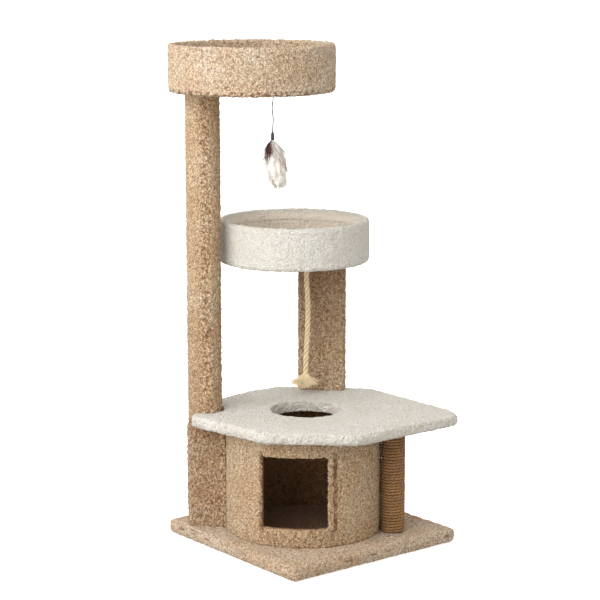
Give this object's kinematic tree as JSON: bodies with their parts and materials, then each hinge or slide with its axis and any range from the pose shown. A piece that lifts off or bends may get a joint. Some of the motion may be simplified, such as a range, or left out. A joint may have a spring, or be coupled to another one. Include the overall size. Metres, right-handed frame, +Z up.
{
  "type": "cat tree",
  "caption": "Carpeted cat tree: square base, round house under a plush shelf with a hole, posts, round trays, sisal post, fur toy and hanging rope.",
  "frame": {"origin": "centre of the base's underside, on the floor", "axes": "+Z up; X and Y along the base's sides. The doorway faces the corner between +X and -Y, with the tall post to its left"},
  "size_m": [0.5688, 0.5726, 1.213],
  "materials": {
    "beige_carpet": "cut-pile carpet, warm beige with darker flecks",
    "tan_carpet": "cut-pile carpet, tan brown with dark flecks",
    "cream_plush": "off-white plush carpet",
    "lining_carpet": "beige cut-pile carpet inside the house and the trays",
    "sisal_rope": "brown sisal rope wrapped close",
    "straw_rope": "pale straw-coloured three-strand twisted rope, frayed at its end",
    "timber": "sawn softwood and plywood",
    "fibreboard": "bent brown fibreboard",
    "steel": "zinc-plated steel",
    "black_cord": "black covered elastic cord and its binding",
    "fur": "white fur with brown patches"
  },
  "bodies": {
    "root": {"base_carpet": "beige_carpet", "base_board": "timber", "house_outer_carpet": "beige_carpet", "house_wall": "fibreboard", "house_lining": "lining_carpet", "shelf_carpet": "cream_plush", "shelf_board": "timber", "shelf_under_carpet": "cream_plush", "lower_post_core": "timber", "lower_post_carpet": "tan_carpet", "tall_post_core": "timber", "tall_post_carpet": "tan_carpet", "middle_post_core": "timber", "middle_post_carpet": "tan_carpet", "sisal_post_core": "timber", "sisal_wrap": "sisal_rope", "top_tray_carpet": "beige_carpet", "top_tray_wall": "fibreboard", "top_tray_floor": "timber", "top_tray_lining": "lining_carpet", "middle_tray_carpet": "cream_plush", "middle_tray_wall": "fibreboard", "middle_tray_floor": "timber", "middle_tray_lining": "lining_carpet", "post_dowel": "timber", "toy_eye": "steel", "rope_eye": "steel", "foot_screw_1": "steel", "foot_screw_2": "steel", "shelf_screw_1": "steel", "shelf_screw_2": "steel", "middle_tray_screw_1": "steel", "middle_tray_screw_2": "steel", "top_tray_screw_1": "steel", "top_tray_screw_2": "steel", "sisal_foot_screw": "steel", "sisal_top_screw": "steel"},
    "toy_link": {"toy_loop": "black_cord"},
    "toy": {"toy_cord": "black_cord", "toy_ferrule": "black_cord", "toy_tuft": "fur"},
    "rope_link": {"rope_loop": "straw_rope"},
    "hanging_rope": {"rope": "straw_rope", "rope_tassel": "straw_rope"}
  },
  "joints": [
    {"name": "toy_swing_fore_aft", "type": "hinge", "parent": "root", "child": "toy_link", "pos_m": [-0.04879, -0.07707, 1.091], "axis": [0.7071, 0.7071, 0], "range_deg": [-60, 60]},
    {"name": "toy_swing_sideways", "type": "hinge", "parent": "toy_link", "child": "toy", "pos_m": [-0.04879, -0.07707, 1.0848], "axis": [-0.7071, 0.7071, 0], "range_deg": [-60, 30]},
    {"name": "rope_swing_fore_aft", "type": "hinge", "parent": "root", "child": "rope_link", "pos_m": [-0.12587, 0.08627, 0.6604], "axis": [0.7071, 0.7071, 0], "range_deg": [-60, 5]},
    {"name": "rope_swing_sideways", "type": "hinge", "parent": "rope_link", "child": "hanging_rope", "pos_m": [-0.12587, 0.08627, 0.6513], "axis": [-0.7071, 0.7071, 0], "range_deg": [-60, 25]}
  ]
}
